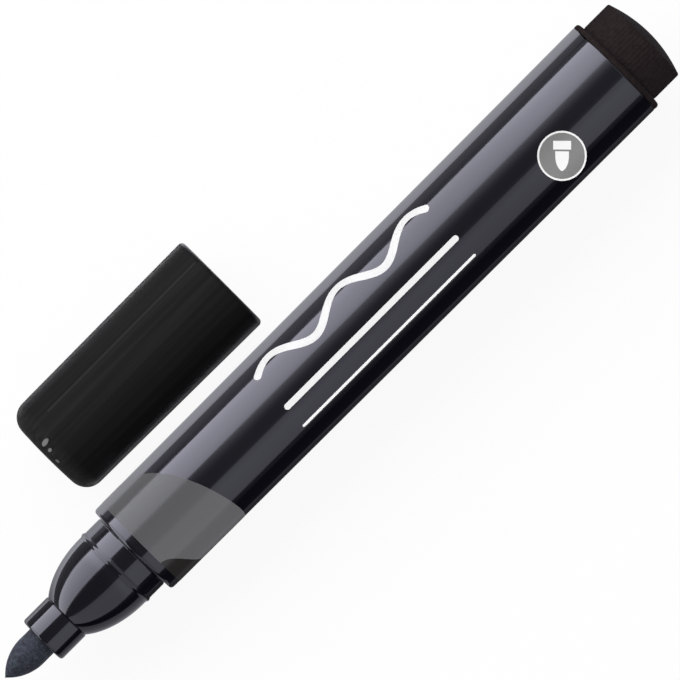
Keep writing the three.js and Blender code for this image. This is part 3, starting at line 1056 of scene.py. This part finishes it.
def lamp(name, place, aim, size, watts, receivers=None):
    """A soft rectangular lamp, turned towards aim, that lights the receivers. Gloss doesn't show it."""
    light = bpy.data.lights.new(name, "AREA")
    light.shape = "RECTANGLE"
    light.size, light.size_y = (length * MM for length in size)
    light.energy = watts
    holder = bpy.data.objects.new(name, light)
    holder.location = Vector(place) * MM
    holder.rotation_euler = (Vector(aim) - Vector(place)).to_track_quat("-Z", "Y").to_euler()
    holder.visible_camera = False
    holder.visible_glossy = False
    holder.light_linking.receiver_collection = receivers
    bpy.context.scene.collection.objects.link(holder)


def sky():
    """White where it is seen, and a low even light elsewhere."""
    world = bpy.data.worlds.new("studio_air")
    bpy.context.scene.world = world
    world.use_nodes = True
    world.node_tree.nodes.clear()
    ray = add(world, "ShaderNodeLightPath")
    seen = either(world, ray.outputs["Is Camera Ray"], ray.outputs["Is Transmission Ray"])
    shown = either(world, seen, ray.outputs["Is Glossy Ray"])
    level = add(world, "ShaderNodeMapRange", {"To Min": AIR_LIGHT, "To Max": 1.0}, {"Value": shown})
    air = add(world, "ShaderNodeBackground", {}, {"Strength": level.outputs[0]})
    add(world, "ShaderNodeOutputWorld", {}, {"Surface": air.outputs[0]})


# Camera, straight above as in the photograph: the marker runs up to the right
VIEW_CENTRE = (2.748, -8.521)
VIEW_WIDTH = 94.79
VIEW_TURN = -45
CAMERA_HEIGHT = 1600
SENSOR_WIDTH = 36
SEEN_FROM, SEEN_TO = 50, 20000


def camera():
    lens = bpy.data.cameras.new("camera")
    lens.sensor_width = SENSOR_WIDTH
    lens.lens = SENSOR_WIDTH * (CAMERA_HEIGHT - barrel.z) / VIEW_WIDTH
    lens.clip_start, lens.clip_end = SEEN_FROM * MM, SEEN_TO * MM
    holder = bpy.data.objects.new("camera", lens)
    holder.location = Vector((*VIEW_CENTRE, CAMERA_HEIGHT)) * MM
    holder.rotation_euler = (0, 0, math.radians(VIEW_TURN))
    bpy.context.scene.collection.objects.link(holder)
    bpy.context.scene.camera = holder


def dress(piece, material, body, slot, *nodes):
    piece.data.materials.append(material)
    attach(piece, body)
    if nodes:
        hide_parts(*nodes)
    return piece


def build_marker():
    """The marker. Its cap doesn't show the barrel, because the photograph shows no such reflection."""
    gloss = gloss_polypropylene()
    white = screen_ink("white_screen_ink", "f0f0f0", 0.35, 0.3)
    zone_grey = screen_ink("grey_screen_ink", "5a5a5c", 0.16, 0.2)
    corner_grey = screen_ink("dark_screen_ink", "201f1e", 0.2, 0.25)
    badge_grey = screen_ink("badge_screen_ink", "7c7c7b", 0.3, 0.3)
    body = ("marker", "gloss_body")
    nose_piece = dress(nose_moulding(), gloss, *body, "nose_section")
    shiny = [
        dress(barrel_shell(), gloss, *body, "barrel"),
        nose_piece,
        dress(grey_zone(), zone_grey, *body),
        dress(zone_corner(), corner_grey, *body),
        dress(wave_sample(), white, *body),
        dress(straight_sample("medium_sample", MEDIUM_AROUND, MEDIUM_STROKE), white, *body),
        dress(straight_sample("fine_sample", FINE_AROUND, FINE_STROKE), white, *body),
        dress(badge_ring(), white, *body),
        dress(badge_field(), badge_grey, *body),
        *(dress(piece, white, *body) for piece in badge_sign()),
    ]
    matt = [
        dress(felt_nib(), inked_felt(), "marker", "nib_felt", "nib"),
        dress(plug_moulding(), eroded_polypropylene(), "marker", "plug_plastic", "end_plug"),
    ]
    for piece in shiny:
        piece.visible_glossy = piece is nose_piece
    for name, material in (("reservoir_core", inked_fibre()), ("reservoir_wrap", clear_film())):
        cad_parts[name].data.materials.clear()
        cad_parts[name].data.materials.append(material)
    return shiny, matt


def build_cap():
    """The cap. The gloss of the marker doesn't show it, because the photograph shows no such reflection."""
    body = ("cap", "cap_plastic")
    seam_highlight_plastic = seam_highlight_polypropylene()
    glint_plastic = glint_polypropylene()
    # Light grey spots on the closed end's rounded edge, painted as highlights
    glint_spots = [glint_spot(name, cap.front + x, *shape) for name, x, *shape in GLINT_SPOTS]
    pieces = [
        dress(cap_moulding(), satin_polypropylene(), *body, "cap_shell"),
        dress(inner_cap_cup(), natural_polypropylene(), "cap", "inner_cap_plastic", "inner_cap"),
        # The mould seams carry a painted highlight: a lighter grey line along the cap
        dress(mould_seam("upper_seam_highlight", CAP_SEAM_TURN), seam_highlight_plastic, *body),
        dress(mould_seam("lower_seam_highlight", CAP_SEAM_TURN + math.pi), seam_highlight_plastic, *body),
        *(dress(piece, glint_plastic, *body) for piece in glint_spots),
    ]
    for piece in pieces:
        piece.visible_glossy = False
    return pieces


def gathered(name, pieces):
    group = bpy.data.collections.new(name)
    for piece in pieces:
        group.objects.link(piece)
    return group


def build_stage(shiny, matt, cap_pieces):
    nib_piece, plug_piece = matt
    gloss = gathered("gloss_and_prints", shiny)
    marker_pieces = gathered("marker_pieces", shiny + matt)
    reflections(gathered("gloss_and_nib", [*shiny, nib_piece]), gathered("plug_alone", [plug_piece]))
    floor_sheet()
    sky()
    lamp("window", WINDOW_PLACE, WINDOW_AIM, WINDOW_SIZE, WINDOW_WATTS)
    lamp("low_lamp", LOW_PLACE, LOW_AIM, LOW_SIZE, LOW_WATTS, marker_pieces)
    lamp("print_lamp", LOW_PLACE, LOW_AIM, LOW_SIZE, PRINT_WATTS, gloss)
    lamp("end_lamp", END_PLACE, END_AIM, END_SIZE, END_WATTS, gathered("cap_pieces", cap_pieces))
    camera()


bpy.context.scene.view_settings.view_transform = "Standard"
build_stage(*build_marker(), build_cap())
